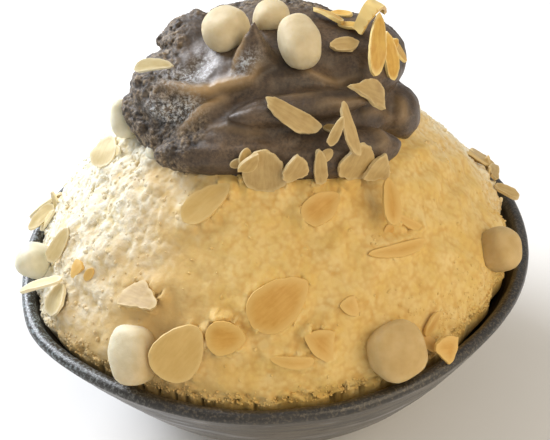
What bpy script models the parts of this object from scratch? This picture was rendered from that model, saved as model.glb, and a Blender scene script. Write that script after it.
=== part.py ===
"""A heaped bowl of patbingsu: a mound of shaved milk ice in a dark stoneware bowl, with sweet red bean paste,
rice cakes and sliced almonds on it.

Metres, +Z up. The origin is the centre of the foot ring, on the table. The front of the bowl faces -Y.
A place on the heap is given by its azimuth (0 along +X, anticlockwise) and by its elevation above the rim's
plane, both in degrees and both seen from the centre of the rim. Lists of places are in millimetres and degrees.
"""

import math
import random

import bmesh
import bpy
from mathutils import Matrix, Vector, noise
from mathutils.bvhtree import BVHTree

MM = 0.001
GAP = 0.3 * MM  # clearance between two pieces that touch

# Bowl: hand-thrown stoneware, 18 cm across.
RIM_RADIUS = 90 * MM
BOWL_HEIGHT = 64 * MM
WALL = 4.6 * MM
FOOT_RADIUS = 40 * MM
FOOT_HEIGHT = 6 * MM
FOOT_WIDTH = 5 * MM
FOOT_RECESS = 3 * MM
FOOT_TAPER = 0.4 * MM
BELLY_RADIUS = 44 * MM  # where the wall starts, above the foot
FLOOR_THICKNESS = 5 * MM
FLOOR_COVE = 6 * MM  # the rounded corner between floor and wall
WALL_SWEEP = 0.6  # exponent of the outer wall: the radius grows with height to this power
WALL_CROWDING = 1.5  # the wall's points stand closer together near the foot, where it bends most
BOWL_STEPS = 48
RIM_SWELLS = [(211, 15, 3.4), (312, 20, -1.0), (62, 24, 1.6), (134, 20, -1.2)]  # azimuth, half-width, push

# Shaved ice: fills the bowl and rises above its rim as a blunt cone.
ICE_RADIUS = 84.2 * MM
ICE_RISE = 72 * MM
ICE_BLUNTNESS = 1.3  # exponent of the superellipse that the mound's section follows
ICE_EDGE_DROP = 2.0 * MM  # how far below the rim the ice meets the wall
ICE_RINGS = 18
ICE_CRAGS = [(19 * MM, 1.5 * MM, 0), (7 * MM, 1.4 * MM, 5)]  # relief: its scale, its height, and a seed
ICE_CRAG_START = 1 * MM  # above the ice's edge
ICE_CRAG_REACH = 8 * MM  # the relief grows to its full height over this much more
ICE_WALL_TOP = 3 * MM  # how far below the edge the ice starts to follow the bowl's inside
ICE_COVE = FLOOR_COVE + 1 * MM

# Bean paste: one scoop, laid on in folds, with whole beans that show in it.
PASTE_VOXEL = 1.2 * MM
PASTE_TRIANGLES = 2700
PASTE_CLEARANCE = 1.5 * GAP  # between the paste and the uneven ice under it
BEAN_SIZE = (6.4 * MM, 4.4 * MM, 4.2 * MM)
BEAN_UNEVENNESS = 0.15
BEAN_PROUD = 0.4 * MM  # how far a bean's middle stands out of the paste
LOWEST_BEAN = 48  # elevation in degrees
PEAK_SHARPNESS = 1.15  # exponent of its narrowing from its middle to its tip

# Rice cakes: soft pieces cut from a roll, half sunk in what they lie on.
CAKE_SQUARENESS = 0.78  # exponent that turns an ellipsoid's coordinates towards a rounded block's
CAKE_UNEVENNESS = 0.06
CAKE_LUMPS = 1.3  # waves of unevenness from a cake's middle to its side
CAKE_CLEARANCE = 1.3 * GAP  # between a cake and the pocket that it lies in

# Almond slices: cut lengthwise from blanched almonds.
SLICE_THICKNESS = 1.1 * MM
SLICE_POINTS = 12
SLICE_TIP = 0.3  # how much narrower a slice is towards its pointed end
SLICE_BOW = 0.05  # depth of a slice's bow over its length
CURL_BOW = 0.5  # the same for a slice that has curled up
CURL_STEPS = 8
FALL_HEIGHT = 14 * MM
FALL_STEP = 0.4 * MM
FALL_FINE_STEP = 0.1 * MM

RIM_CENTRE = Vector((0, 0, BOWL_HEIGHT))


def clear_scene():
    for obj in list(bpy.data.objects):
        bpy.data.objects.remove(obj, do_unlink=True)


def new_collection(name):
    collection = bpy.data.collections.new(name)
    bpy.context.scene.collection.children.link(collection)
    return collection


def new_material(name, colour, roughness, metallic=0.0):
    material = bpy.data.materials.new(name)
    material.use_nodes = True
    shader = material.node_tree.nodes["Principled BSDF"]
    shader.inputs["Base Color"].default_value = (*colour, 1)
    shader.inputs["Roughness"].default_value = roughness
    shader.inputs["Metallic"].default_value = metallic
    return material


def add_object(name, mesh, collection):
    obj = bpy.data.objects.new(name, mesh)
    collection.objects.link(obj)
    return obj


def from_bmesh(name, shape, collection):
    mesh = bpy.data.meshes.new(name)
    shape.to_mesh(mesh)
    shape.free()
    return add_object(name, mesh, collection)


def apply_modifiers(obj):
    """Replaces the object's mesh by what its modifiers make of it."""
    bpy.context.view_layer.update()
    graph = bpy.context.evaluated_depsgraph_get()
    mesh = bpy.data.meshes.new_from_object(obj.evaluated_get(graph))
    obj.modifiers.clear()
    obj.data = mesh
    return obj


def place(obj, matrix):
    """Moves the object's mesh, so that its object stays at the origin."""
    obj.data.transform(matrix)
    obj.data.update()
    return obj


def turned(name, profile, steps, collection):
    """A solid of revolution about Z, from a section that runs down its outer side."""
    mesh = bpy.data.meshes.new(name)
    points = [(radius, 0, height) for radius, height in profile]
    mesh.from_pydata(points, [(i, i + 1) for i in range(len(points) - 1)], [])
    obj = add_object(name, mesh, collection)
    screw = obj.modifiers.new("turn", "SCREW")
    screw.steps = steps
    screw.render_steps = steps
    screw.use_merge_vertices = True
    screw.merge_threshold = 0.01 * MM
    return apply_modifiers(obj)


def ellipsoid(name, size, collection, segments=10, rings=7):
    """An ellipsoid with these full sizes along X, Y and Z, centred on the origin."""
    shape = bmesh.new()
    bmesh.ops.create_uvsphere(shape, u_segments=segments, v_segments=rings, radius=0.5)
    bmesh.ops.scale(shape, vec=size, verts=shape.verts)
    return from_bmesh(name, shape, collection)


def joined(name, objects, collection):
    """One object that holds the meshes of several, which are removed."""
    shape = bmesh.new()
    for obj in objects:
        shape.from_mesh(obj.data)
        bpy.data.objects.remove(obj, do_unlink=True)
    return from_bmesh(name, shape, collection)


def triangulate(obj):
    """Settles how each bent face is split, so that a grown copy is split the same way."""
    shape = bmesh.new()
    shape.from_mesh(obj.data)
    bmesh.ops.triangulate(shape, faces=shape.faces)
    shape.to_mesh(obj.data)
    shape.free()


def grown(obj, distance, cutters):
    """A helper copy of the object whose surface stands this far outside it."""
    copy = add_object(obj.name + "_grown", obj.data.copy(), cutters)
    normals = [vertex.normal.copy() for vertex in copy.data.vertices]
    for vertex, normal in zip(copy.data.vertices, normals):
        vertex.co += normal * distance
    copy.data.update()
    copy.hide_render = True
    copy.display_type = "WIRE"
    return copy


def combine(obj, other, operation):
    """Cuts the other object's shape out of this one, or adds it, and removes the other."""
    boolean = obj.modifiers.new("combine", "BOOLEAN")
    boolean.operation = operation
    boolean.solver = "EXACT"
    boolean.object = other
    apply_modifiers(obj)
    bpy.data.objects.remove(other, do_unlink=True)
    return keep_largest(obj)


def keep_largest(obj):
    """Drops the loose scraps that a cut can leave."""
    shape = bmesh.new()
    shape.from_mesh(obj.data)
    left = set(shape.verts)
    pieces = []
    while left:
        piece, edge = set(), [left.pop()]
        while edge:
            vertex = edge.pop()
            piece.add(vertex)
            for link in vertex.link_edges:
                other = link.other_vert(vertex)
                if other in left:
                    left.discard(other)
                    edge.append(other)
        pieces.append(piece)
    pieces.sort(key=len)
    scraps = [vertex for piece in pieces[:-1] for vertex in piece]
    bmesh.ops.delete(shape, geom=scraps, context="VERTS")
    shape.to_mesh(obj.data)
    shape.free()
    return obj


def tree_of(obj):
    return BVHTree.FromPolygons(
        [vertex.co for vertex in obj.data.vertices],
        [face.vertices for face in obj.data.polygons],
    )


def direction(azimuth, elevation):
    a, e = math.radians(azimuth), math.radians(elevation)
    return Vector((math.cos(a) * math.cos(e), math.sin(a) * math.cos(e), math.sin(e)))


def surface_at(azimuth, elevation, trees):
    """The outermost point of the heap in this direction, with its normal, or None."""
    aim = direction(azimuth, elevation)
    start = RIM_CENTRE + aim * 2 * RIM_RADIUS
    hits = [tree.ray_cast(start, -aim) for tree in trees]
    hits = [hit for hit in hits if hit[0] is not None]
    if not hits:
        return None
    nearest = min(hits, key=lambda hit: hit[3])
    return nearest[0], nearest[1]


def lie_on(azimuth, elevation, trees, reach=5.0, rays=8):
    """A frame on the heap: its origin is on the surface, Z is the slope's mean normal, and X points uphill."""
    middle = surface_at(azimuth, elevation, trees)[0]
    ring = []
    for i in range(rays):
        turn = math.tau * i / rays
        across = reach * math.cos(turn) / math.cos(math.radians(elevation))
        hit = surface_at(azimuth + across, elevation + reach * math.sin(turn), trees)
        if hit is not None:
            ring.append(hit[0] - middle)
    normal = Vector()
    for one, following in zip(ring, ring[1:] + ring[:1]):
        normal += one.cross(following)
    if normal.dot(direction(azimuth, elevation)) < 0:
        normal.negate()
    normal.normalize()
    uphill = (direction(azimuth, 90) - normal * normal.z).normalized()
    return frame_from(middle, uphill, normal)


def frame_from(origin, x_axis, z_axis):
    y_axis = z_axis.cross(x_axis)
    turn = Matrix((x_axis, y_axis, z_axis)).transposed()
    return Matrix.Translation(origin) @ turn.to_4x4()


def turn_about(axis, degrees):
    return Matrix.Rotation(math.radians(degrees), 4, axis)


def uneven_rim(obj):
    """Pushes the bowl's wall, and what lies against it, in and out a little, as a hand-thrown bowl's is."""
    for vertex in obj.data.vertices:
        height = vertex.co.z / BOWL_HEIGHT
        if height > 1:
            share = max(0, 1 - (height - 1) * 6)
        else:
            share = height**2
        azimuth = math.degrees(math.atan2(vertex.co.y, vertex.co.x)) % 360
        push = sum(most * math.exp(-(((azimuth - middle) / width) ** 2)) for middle, width, most in RIM_SWELLS)
        radius = math.hypot(vertex.co.x, vertex.co.y)
        stretch = 1 + push * MM * share / RIM_RADIUS
        if radius > 0:
            vertex.co.x *= stretch
            vertex.co.y *= stretch
    obj.data.update()


# --- Bowl -------------------------------------------------------------------------------------------------


def outer_wall(points=7):
    """(radius, height) up the bowl's outside, from the foot to just under the lip."""
    low, high = FOOT_HEIGHT, BOWL_HEIGHT - WALL / 2
    wall = []
    for i in range(points + 1):
        share = (i / points) ** WALL_CROWDING
        radius = BELLY_RADIUS + (RIM_RADIUS - BELLY_RADIUS) * share**WALL_SWEEP
        wall.append((radius, low + (high - low) * share))
    return wall


def inner_wall(offset=WALL):
    """(radius, height) up the bowl's inside, parallel to the outer wall, from the floor to under the lip."""
    wall = outer_wall()
    inside = []
    for i in range(1, len(wall)):
        before, after = wall[max(i - 1, 0)], wall[min(i + 1, len(wall) - 1)]
        along = Vector((after[0] - before[0], after[1] - before[1])).normalized()
        radius = wall[i][0] - along.y * offset
        height = wall[i][1] + along.x * offset * (1 - i / (len(wall) - 1))
        inside.append((radius, height))
    floor = FOOT_HEIGHT + FLOOR_THICKNESS + offset - WALL
    return [point for point in inside if point[1] > floor + FLOOR_COVE / 4]


def lip(points=3):
    """The rounded lip, from its inner side over the top to its outer side."""
    half = WALL / 2
    middle_radius, middle_height = RIM_RADIUS - half, BOWL_HEIGHT - half
    turn = [math.pi * (1 - (i + 1) / (points + 1)) for i in range(points)]
    return [(middle_radius + half * math.cos(a), middle_height + half * math.sin(a)) for a in turn]


def make_bowl(collection):
    floor = FOOT_HEIGHT + FLOOR_THICKNESS
    floor_radius = inner_wall()[0][0] - FLOOR_COVE
    inside = [(0, floor), (floor_radius, floor), *inner_wall()]
    outside = list(reversed(outer_wall()))
    foot = [
        (FOOT_RADIUS, FOOT_HEIGHT * 0.7),
        (FOOT_RADIUS - FOOT_TAPER, 0),
        (FOOT_RADIUS - FOOT_WIDTH, 0),
        (FOOT_RADIUS - FOOT_WIDTH - 2 * FOOT_TAPER, FOOT_RECESS),
        (0, FOOT_RECESS),
    ]
    bowl = turned("stoneware_bowl", inside + lip() + outside + foot, BOWL_STEPS, collection)
    uneven_rim(bowl)
    bowl.data.shade_smooth()
    bowl.data.set_sharp_from_angle(angle=math.radians(40))
    return bowl


# --- Shaved ice -------------------------------------------------------------------------------------------


def mound(points=ICE_RINGS):
    """(radius, height) down the mound, from its top to where it meets the bowl's wall."""
    section = []
    for i in range(points + 1):
        turn = math.pi / 2 * (1 - i / points)
        radius = ICE_RADIUS * math.cos(turn) ** (2 / ICE_BLUNTNESS)
        height = ICE_RISE * math.sin(turn) ** (2 / ICE_BLUNTNESS)
        section.append((radius, BOWL_HEIGHT - ICE_EDGE_DROP + height))
    return section


def make_ice(collection):
    edge = BOWL_HEIGHT - ICE_EDGE_DROP
    wall = inner_wall(WALL + GAP)
    under = [point for point in reversed(wall) if point[1] < edge - ICE_WALL_TOP]
    floor = FOOT_HEIGHT + FLOOR_THICKNESS + GAP
    under += [(under[-1][0] - ICE_COVE, floor), (0, floor)]
    section = [(0, mound()[0][1])] + mound()[1:] + under
    ice = turned("shaved_ice", section, BOWL_STEPS, collection)
    uneven_rim(ice)
    for vertex in ice.data.vertices:
        above = (vertex.co.z - edge - ICE_CRAG_START) / ICE_CRAG_REACH
        if above <= 0:
            continue
        shift = 0
        for scale, height, seed in ICE_CRAGS:
            shift += height * noise.noise(vertex.co / scale + Vector((seed, seed, seed)))
        vertex.co += (vertex.co - RIM_CENTRE).normalized() * shift * min(above, 1)
    triangulate(ice)
    ice.data.shade_smooth()
    return ice


# --- Red bean paste ---------------------------------------------------------------------------------------

# Each mass: centre (x, y and height above the rim), full size, and how far it is turned about Z.
PASTE_MASSES = [
    ((-1, 2, 52), (88, 82, 42), 0),  # the body of the scoop
    ((1.5, 3, 65), (64, 60, 31), 0),  # its crown
    ((-22, -8, 63), (38, 34, 22), 20),  # the ledge on the left
    ((-37, -8, 54), (15, 22, 14), 0),  # the lump under it
    ((-20, 5, 72), (24, 24, 15), -20),  # top left
    ((25.5, 0, 65), (41, 40, 25), 10),  # right shoulder
    ((42, -8, 48), (15, 22, 19), -15),  # right bulge
    ((-8, -33, 53), (54, 14, 14), -4),  # front roll, left
    ((18, -34, 51), (46, 15, 15), 10),  # front roll, right
    ((10, -29, 65), (46, 12, 8), 8),  # fold over the front
]
# Each ridge: places (azimuth, elevation) along its crest, how thick it is, and how proud it stands.
PASTE_RIDGES = [
    ([(208, 62), (217, 64), (235, 68), (254, 71), (263, 73)], 5.0, 0.6),  # the ledge's drawn edge
    ([(226, 53), (229, 57), (231, 63), (236, 68)], 4.5, 0.8),  # the crest that runs down from it
    ([(286, 60), (296, 61), (309, 59), (325, 56), (338, 51)], 5.0, 0.5),  # edge of the right fold
    ([(296, 73), (303, 70), (316, 67), (330, 67)], 3.5, 0.4),  # edge of the scooped hollow
    ([(222, 51), (236, 51), (250, 52), (268, 52), (285, 50)], 6.0, 0.2),  # front roll's crest
    ([(242, 70), (247, 74), (256, 78)], 5.0, 1.2),  # crest that climbs to the drawn-up peak
]
PASTE_PEAK = ((-2.3, -17, 75), (15, 11, 27), 2)  # centre, size, and its lean
BEAN_PATCHES = [  # azimuth, elevation and half-width in degrees, number of beans
    (200, 57, 15, 26),
    (165, 66, 16, 18),
    (243, 70, 10, 9),
    (120, 58, 22, 18),
    (60, 60, 20, 14),
    (20, 55, 12, 8),
    (325, 49, 7, 5),
    (222, 66, 7, 9),
]


def paste_masses(cutters):
    masses = []
    for centre, size, turn in PASTE_MASSES:
        mass = ellipsoid("mass", Vector(size) * MM, cutters, segments=32, rings=16)
        where = Matrix.Translation(Vector(centre) * MM + RIM_CENTRE)
        masses.append(place(mass, where @ turn_about("Z", turn)))
    centre, size, lean = PASTE_PEAK
    peak = ellipsoid("peak", Vector(size) * MM, cutters)
    for vertex in peak.data.vertices:
        rise = max(0, vertex.co.z / (size[2] * MM / 2))
        narrowing = max(0, 1 - rise) ** PEAK_SHARPNESS
        vertex.co.x *= narrowing
        vertex.co.y *= narrowing
    where = Matrix.Translation(Vector(centre) * MM + RIM_CENTRE)
    masses.append(place(peak, where @ turn_about("Y", lean)))
    return masses


def paste_ridges(body, cutters):
    """Rounded ridges laid along the paste, thinner towards their ends."""
    trees = [tree_of(body)]
    ridges = []
    for places, thickness, proud in PASTE_RIDGES:
        curve = bpy.data.curves.new("ridge", "CURVE")
        curve.dimensions = "3D"
        curve.bevel_depth = thickness * MM / 2
        curve.bevel_resolution = 2
        curve.use_fill_caps = True
        spline = curve.splines.new("NURBS")
        spline.points.add(len(places) - 1)
        spline.use_endpoint_u = True
        for i, (azimuth, elevation) in enumerate(places):
            hit, normal = surface_at(azimuth, elevation, trees)
            along = i / (len(places) - 1)
            depth = (thickness / 2 - proud) * MM
            spline.points[i].co = (*(hit - normal * depth), 1)
            spline.points[i].radius = 0.45 + 0.55 * math.sin(math.pi * along)
        tube = add_object("ridge", curve, cutters)
        bpy.context.view_layer.update()
        graph = bpy.context.evaluated_depsgraph_get()
        ridges.append(add_object("ridge", bpy.data.meshes.new_from_object(tube.evaluated_get(graph)), cutters))
        bpy.data.objects.remove(tube, do_unlink=True)
    return ridges


def paste_beans(body, cutters):
    """Whole beans half sunk in the paste, in the patches where it is lumpy."""
    rng = random.Random(7)
    trees = [tree_of(body)]
    beans = []
    for azimuth, elevation, spread, count in BEAN_PATCHES:
        for _ in range(count):
            place_at = (azimuth + rng.gauss(0, spread), elevation + rng.gauss(0, spread / 2))
            surface = surface_at(*place_at, trees)
            if surface is None or place_at[1] < LOWEST_BEAN:
                continue
            hit, normal = surface
            growth = 1 + rng.uniform(-BEAN_UNEVENNESS, BEAN_UNEVENNESS)
            bean = ellipsoid("bean", Vector(BEAN_SIZE) * growth, cutters, segments=10, rings=6)
            face_out = normal.to_track_quat("Z", "Y").to_matrix().to_4x4()
            where = Matrix.Translation(hit + normal * BEAN_PROUD)
            beans.append(place(bean, where @ face_out @ turn_about("Z", rng.uniform(0, 360))))
    return beans


def make_paste(ice, collection, cutters):
    body = joined("paste_body", paste_masses(cutters), cutters)
    ridges = paste_ridges(body, cutters)
    beans = paste_beans(body, cutters)
    paste = joined("red_bean_paste", [body, *ridges, *beans], collection)
    remesh = paste.modifiers.new("knead", "REMESH")
    remesh.mode = "VOXEL"
    remesh.voxel_size = PASTE_VOXEL
    smooth = paste.modifiers.new("soften", "SMOOTH")
    smooth.factor = 0.5
    smooth.iterations = 2
    apply_modifiers(paste)
    decimate = paste.modifiers.new("coarsen", "DECIMATE")
    decimate.ratio = PASTE_TRIANGLES / (2 * len(paste.data.polygons))
    apply_modifiers(paste)
    combine(paste, grown(ice, PASTE_CLEARANCE, cutters), "DIFFERENCE")
    paste.data.shade_smooth()
    return paste


# --- Rice cakes -------------------------------------------------------------------------------------------

# Each piece: azimuth, elevation, full size (up the slope, across it, out of it), spin, how deep its middle lies.
RICE_CAKES = [
    (216, 81, (16, 15, 13), 0, -3.2),  # on the paste, left
    (333, 87.4, (12.5, 13, 13), 0, -0.2),  # behind
    (304, 76.5, (19, 13.5, 13), -10, -4.0),  # in front
    (186, 49, (14, 12, 10), 30, -2.0),  # under the paste, left
    (211, 49, (6, 6, 5), 0, -0.5),  # a scrap beside it
    (195, 4, (13, 13, 13), 0, -4.5),  # on the edge, left
    (238, 4, (20, 16, 13), 20, -3.5),  # on the edge, front left
    (294, 5, (19, 19, 13), 10, -3.5),  # on the edge, front right
    (334, 7, (16, 16, 14), 40, -2.5),  # on the edge, right
    (52, 6, (17, 16, 13), 10, -2.0),  # on the edge, behind
    (84, 5, (16, 18, 13), -20, -2.5),
    (122, 6, (18, 16, 12), 15, -2.0),
]


def rice_cake(name, size, collection):
    """A soft block with rounded sides, a little uneven."""
    cake = ellipsoid(name, (2, 2, 2), collection)
    offset = Vector((len(name), size[0], size[1]))
    for vertex in cake.data.vertices:
        swell = 1 + CAKE_UNEVENNESS * noise.noise(vertex.co * CAKE_LUMPS + offset)
        rounded = [math.copysign(abs(value) ** CAKE_SQUARENESS, value) for value in vertex.co]
        vertex.co = [value * full * MM / 2 * swell for value, full in zip(rounded, size)]
    triangulate(cake)
    cake.data.shade_smooth()
    return cake


def stands_near(obj, tree, gap):
    """Whether the object meets this surface or comes nearer to it than the gap."""
    if tree_of(obj).overlap(tree):
        return True
    return any(tree.find_nearest(vertex.co, gap)[0] is not None for vertex in obj.data.vertices)


def make_rice_cakes(bowl, ice, paste, collection, cutters):
    heap = [tree_of(ice), tree_of(paste)]
    solid = [tree_of(bowl)]
    cakes = []
    for number, (azimuth, elevation, size, spin, depth) in enumerate(RICE_CAKES, 1):
        cake = rice_cake(f"rice_cake_{number:02d}", size, collection)
        where = lie_on(azimuth, elevation, heap)
        place(cake, where @ turn_about("Z", spin) @ Matrix.Translation((0, 0, -depth * MM)))
        uphill = where.to_3x3().col[0].normalized()
        while any(stands_near(cake, tree, GAP) for tree in solid):
            place(cake, Matrix.Translation(uphill * GAP))
        solid.append(tree_of(cake))
        cakes.append(cake)
    for cake in cakes:
        for support in (ice, paste):
            if tree_of(cake).overlap(tree_of(support)):
                combine(support, grown(cake, CAKE_CLEARANCE, cutters), "DIFFERENCE")
    return cakes


# --- Almond slices ----------------------------------------------------------------------------------------

# Each slice on the heap: azimuth, elevation, length, width, spin from uphill (anticlockwise), lift of the far
# end, roll about its length, and kind of slice.
SLICES_ON_PASTE = [
    (204, 64, 14, 6, -63, 0, 25, "half"),
    (283, 62, 18, 10, 54, 0, 0, "half"),
    (318, 59, 21, 9, 49, 0, 0, "torn"),
    (333, 70, 9, 5, 83, 0, 0, "stick"),
    (337, 64.5, 20, 5.5, -26, 5, 5, "whole"),
    (341, 61, 15, 5, -8, 6, -10, "whole"),
    (348, 67, 12.5, 5, -80, 6, 0, "curl"),
    (2, 75, 12, 5, -38, 0, 20, "stick"),
    (268, 52, 14, 13, -5, 10, 0, "whole"),
    (262, 54, 10, 5, -40, 20, 30, "broken"),
    (280, 51, 10, 8, -10, 10, 20, "broken"),
    (289, 50, 12, 4, 0, 10, 0, "stick"),
    (302, 48, 13, 11, -25, 10, 0, "whole"),
    (302, 53, 16, 6, 5, 25, 0, "half"),
    (297, 56, 9, 3, -35, 15, 0, "stick"),
    (309, 45, 11, 8, -25, 0, 0, "broken"),
]
SLICES_ON_ICE = [
    (187, 36, 12, 10, 40, 0, 25, "whole"),
    (200, 12, 13, 5, 0, 0, 30, "stick"),
    (212, 13, 7, 6, 50, 0, 0, "broken"),
    (211, 5, 11, 9, 16, 0, 0, "whole"),
    (236, 14, 15, 13, -61, 0, 0, "half"),
    (247, 8, 19, 15, -45, 8, 0, "whole"),
    (258, 12, 12, 10, -84, 0, 0, "whole"),
    (270, 19, 21, 14, -57, 0, 0, "whole"),
    (272, 8, 13, 6, 85, 0, 0, "half"),
    (279, 10, 12, 9, 57, 0, 0, "broken"),
    (287, 16, 7, 6, 74, 0, 0, "broken"),
    (246, 42, 18, 9, -44, 0, 0, "whole"),
    (287, 40, 14, 9, -65, 0, 0, "whole"),
    (306, 34, 15, 6, -30, 0, 0, "stick"),
    (313, 28, 12, 5, 40, 0, 0, "half"),
    (305, 24, 22, 7, 74, 0, 0, "half"),
    (304, 1, 11, 9, -78, 0, 15, "broken"),
]
SLICES_BEHIND = [
    (70, 30, 16, 10, 30, 0, 0, "whole"),
    (108, 22, 13, 9, -50, 0, 0, "half"),
    (138, 30, 11, 8, 65, 0, 0, "broken"),
    (88, 62, 15, 9, 40, 0, 0, "half"),
    (42, 34, 12, 8, -20, 0, 0, "broken"),
]
# Each slice on the rim: azimuth, distance from the middle, length, width, heading, lift, roll, kind of slice.
SLICES_ON_RIM = [
    (172, 84, 15, 5, 208, -22, 30, "stick"),
    (178, 83, 13, 5, 232, -12, -20, "stick"),
    (207, 85, 15, 4, 183, -14, 0, "stick"),
    (25, 84, 14, 8, 115, 0, 38, "half"),
    (17, 84, 16, 8, 105, 0, 30, "whole"),
    (9, 84, 13, 7, 75, -10, 30, "half"),
    (1, 84, 10, 5, 150, 16, 0, "stick"),
]


def slice_outline(length, width, kind):
    """Points round a slice, which is narrower towards its tip at +X. Kinds differ in what has broken off."""
    outline = []
    for i in range(SLICE_POINTS):
        turn = math.tau * i / SLICE_POINTS
        x, y = math.cos(turn), math.sin(turn) * (1 - SLICE_TIP * math.cos(turn))
        if kind == "half":
            y = max(y, -0.25)
        if kind == "broken":
            x = max(x, -0.55 - 0.25 * y)
            y = y * (0.75 if x > 0.6 else 1)
        if kind == "torn":
            x = max(x, 0.1 * y - 0.6)
            y = y * (0.45 if x > 0.1 else 1)
        if kind == "stick":
            x = math.copysign(abs(x) ** 0.7, x)
        outline.append((x * length / 2 * MM, y * width / 2 * MM))
    return outline


def almond_slice(name, length, width, kind, collection, extra=0.0):
    """A thin bowed slice, centred on the origin. Extra millimetres go on all round."""
    shape = bmesh.new()
    full_length, full_width = length + 2 * extra, width + 2 * extra
    if kind == "curl":
        bmesh.ops.create_grid(shape, x_segments=CURL_STEPS, y_segments=1, size=0.5)
        for vertex in shape.verts:
            narrowing = 1 - SLICE_TIP * 2 * abs(vertex.co.x)
            vertex.co = (vertex.co.x * full_length * MM, vertex.co.y * full_width * narrowing * MM, 0)
    else:
        bmesh.ops.create_circle(shape, cap_ends=True, cap_tris=True, segments=SLICE_POINTS, radius=1)
        middle = max(shape.verts, key=lambda vertex: len(vertex.link_edges))
        ring = [vertex for vertex in shape.verts if vertex is not middle]
        for vertex, (x, y) in zip(ring, slice_outline(full_length, full_width, kind)):
            vertex.co = (x, y, 0)
    bow = (CURL_BOW if kind == "curl" else SLICE_BOW) * length * MM
    for vertex in shape.verts:
        vertex.co.z = bow * (0.5 - (2 * vertex.co.x / (length * MM)) ** 2)
    obj = from_bmesh(name, shape, collection)
    solidify = obj.modifiers.new("thickness", "SOLIDIFY")
    solidify.thickness = SLICE_THICKNESS + 2 * extra * MM
    solidify.offset = 0
    return apply_modifiers(obj)


def lay_slice(obj, around, pose, fall, trees):
    """Lowers a slice, in this pose, until the copy that is a gap larger all round would touch something."""
    points = [pose @ vertex.co for vertex in around.data.vertices]
    faces = [tuple(face.vertices) for face in around.data.polygons]
    lift = FALL_HEIGHT

    def touches(height):
        moved = BVHTree.FromPolygons([point - fall * height for point in points], faces)
        return any(moved.overlap(tree) for tree in trees)

    for step in (FALL_STEP, FALL_FINE_STEP):
        while lift > -FALL_HEIGHT and not touches(lift - step):
            lift -= step
    bpy.data.objects.remove(around, do_unlink=True)
    return place(obj, Matrix.Translation(fall * -lift) @ pose)


def make_slices(carriers, collection, cutters):
    trees = [tree_of(carrier) for carrier in carriers]
    heap = trees[:]
    slices = []
    down = Vector((0, 0, -1))
    poses = []
    for azimuth, elevation, *shape, spin, lift, roll, kind in SLICES_ON_PASTE + SLICES_ON_ICE + SLICES_BEHIND:
        base = lie_on(azimuth, elevation, heap)
        turn = turn_about("Z", spin) @ turn_about("Y", -lift) @ turn_about("X", roll)
        poses.append((base @ turn, -base.to_3x3().col[2].normalized(), shape, kind))
    for azimuth, radius, *shape, heading, lift, roll, kind in SLICES_ON_RIM:
        spot = RIM_CENTRE + direction(azimuth, 0) * radius * MM
        turn = turn_about("Z", heading) @ turn_about("Y", -lift) @ turn_about("X", roll)
        poses.append((Matrix.Translation(spot) @ turn, down, shape, kind))
    for number, (pose, fall, (length, width), kind) in enumerate(poses, 1):
        obj = almond_slice(f"almond_slice_{number:02d}", length, width, kind, collection)
        around = almond_slice("around", length, width, kind, cutters, extra=GAP / MM)
        slices.append(lay_slice(obj, around, pose, fall, trees))
        trees.append(tree_of(obj))
    return slices


def main():
    clear_scene()
    collection = new_collection("patbingsu")
    cutters = new_collection("cutters")
    stoneware = new_material("stoneware", (0.045, 0.05, 0.05), 0.5)
    milk_ice = new_material("milk_ice", (0.86, 0.76, 0.55), 0.6)
    bean = new_material("red_bean", (0.09, 0.06, 0.045), 0.3)
    rice = new_material("rice_cake", (0.8, 0.72, 0.55), 0.35)
    almond = new_material("almond", (0.7, 0.48, 0.2), 0.6)
    bowl = make_bowl(collection)
    bowl.data.materials.append(stoneware)
    ice = make_ice(collection)
    ice.data.materials.append(milk_ice)
    paste = make_paste(ice, collection, cutters)
    paste.data.materials.append(bean)
    cakes = make_rice_cakes(bowl, ice, paste, collection, cutters)
    for cake in cakes:
        cake.data.materials.append(rice)
    for piece in make_slices([bowl, ice, paste, *cakes], collection, cutters):
        piece.data.materials.append(almond)


main()
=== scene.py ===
import math
import random

import bpy
import numpy as np
from mathutils import Euler, Matrix, Vector, noise
from mathutils.bvhtree import BVHTree
from mathutils.kdtree import KDTree


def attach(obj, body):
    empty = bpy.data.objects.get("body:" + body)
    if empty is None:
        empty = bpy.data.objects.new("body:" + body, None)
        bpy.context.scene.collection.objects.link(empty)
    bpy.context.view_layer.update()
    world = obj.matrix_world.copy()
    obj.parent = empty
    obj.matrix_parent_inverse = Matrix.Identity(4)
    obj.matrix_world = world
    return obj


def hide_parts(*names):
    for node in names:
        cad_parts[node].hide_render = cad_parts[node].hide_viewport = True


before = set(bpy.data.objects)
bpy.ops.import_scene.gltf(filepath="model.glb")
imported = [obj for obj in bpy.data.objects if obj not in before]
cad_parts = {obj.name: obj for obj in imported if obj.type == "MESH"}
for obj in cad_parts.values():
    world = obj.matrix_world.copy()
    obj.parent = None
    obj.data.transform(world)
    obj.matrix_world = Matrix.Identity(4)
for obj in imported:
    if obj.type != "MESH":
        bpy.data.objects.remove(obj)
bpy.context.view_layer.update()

# --- Stoneware bowl ----------------------------
# A bowl thrown by hand from dark iron-bearing stoneware, 18 cm across. The potter's fingers left fine rings
# round its outside, its lip swells and draws in a little, and it stands on a trimmed foot ring. The slate
# glaze broke into a rough speckle on the lip, and thinned to brown over the outside.

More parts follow.
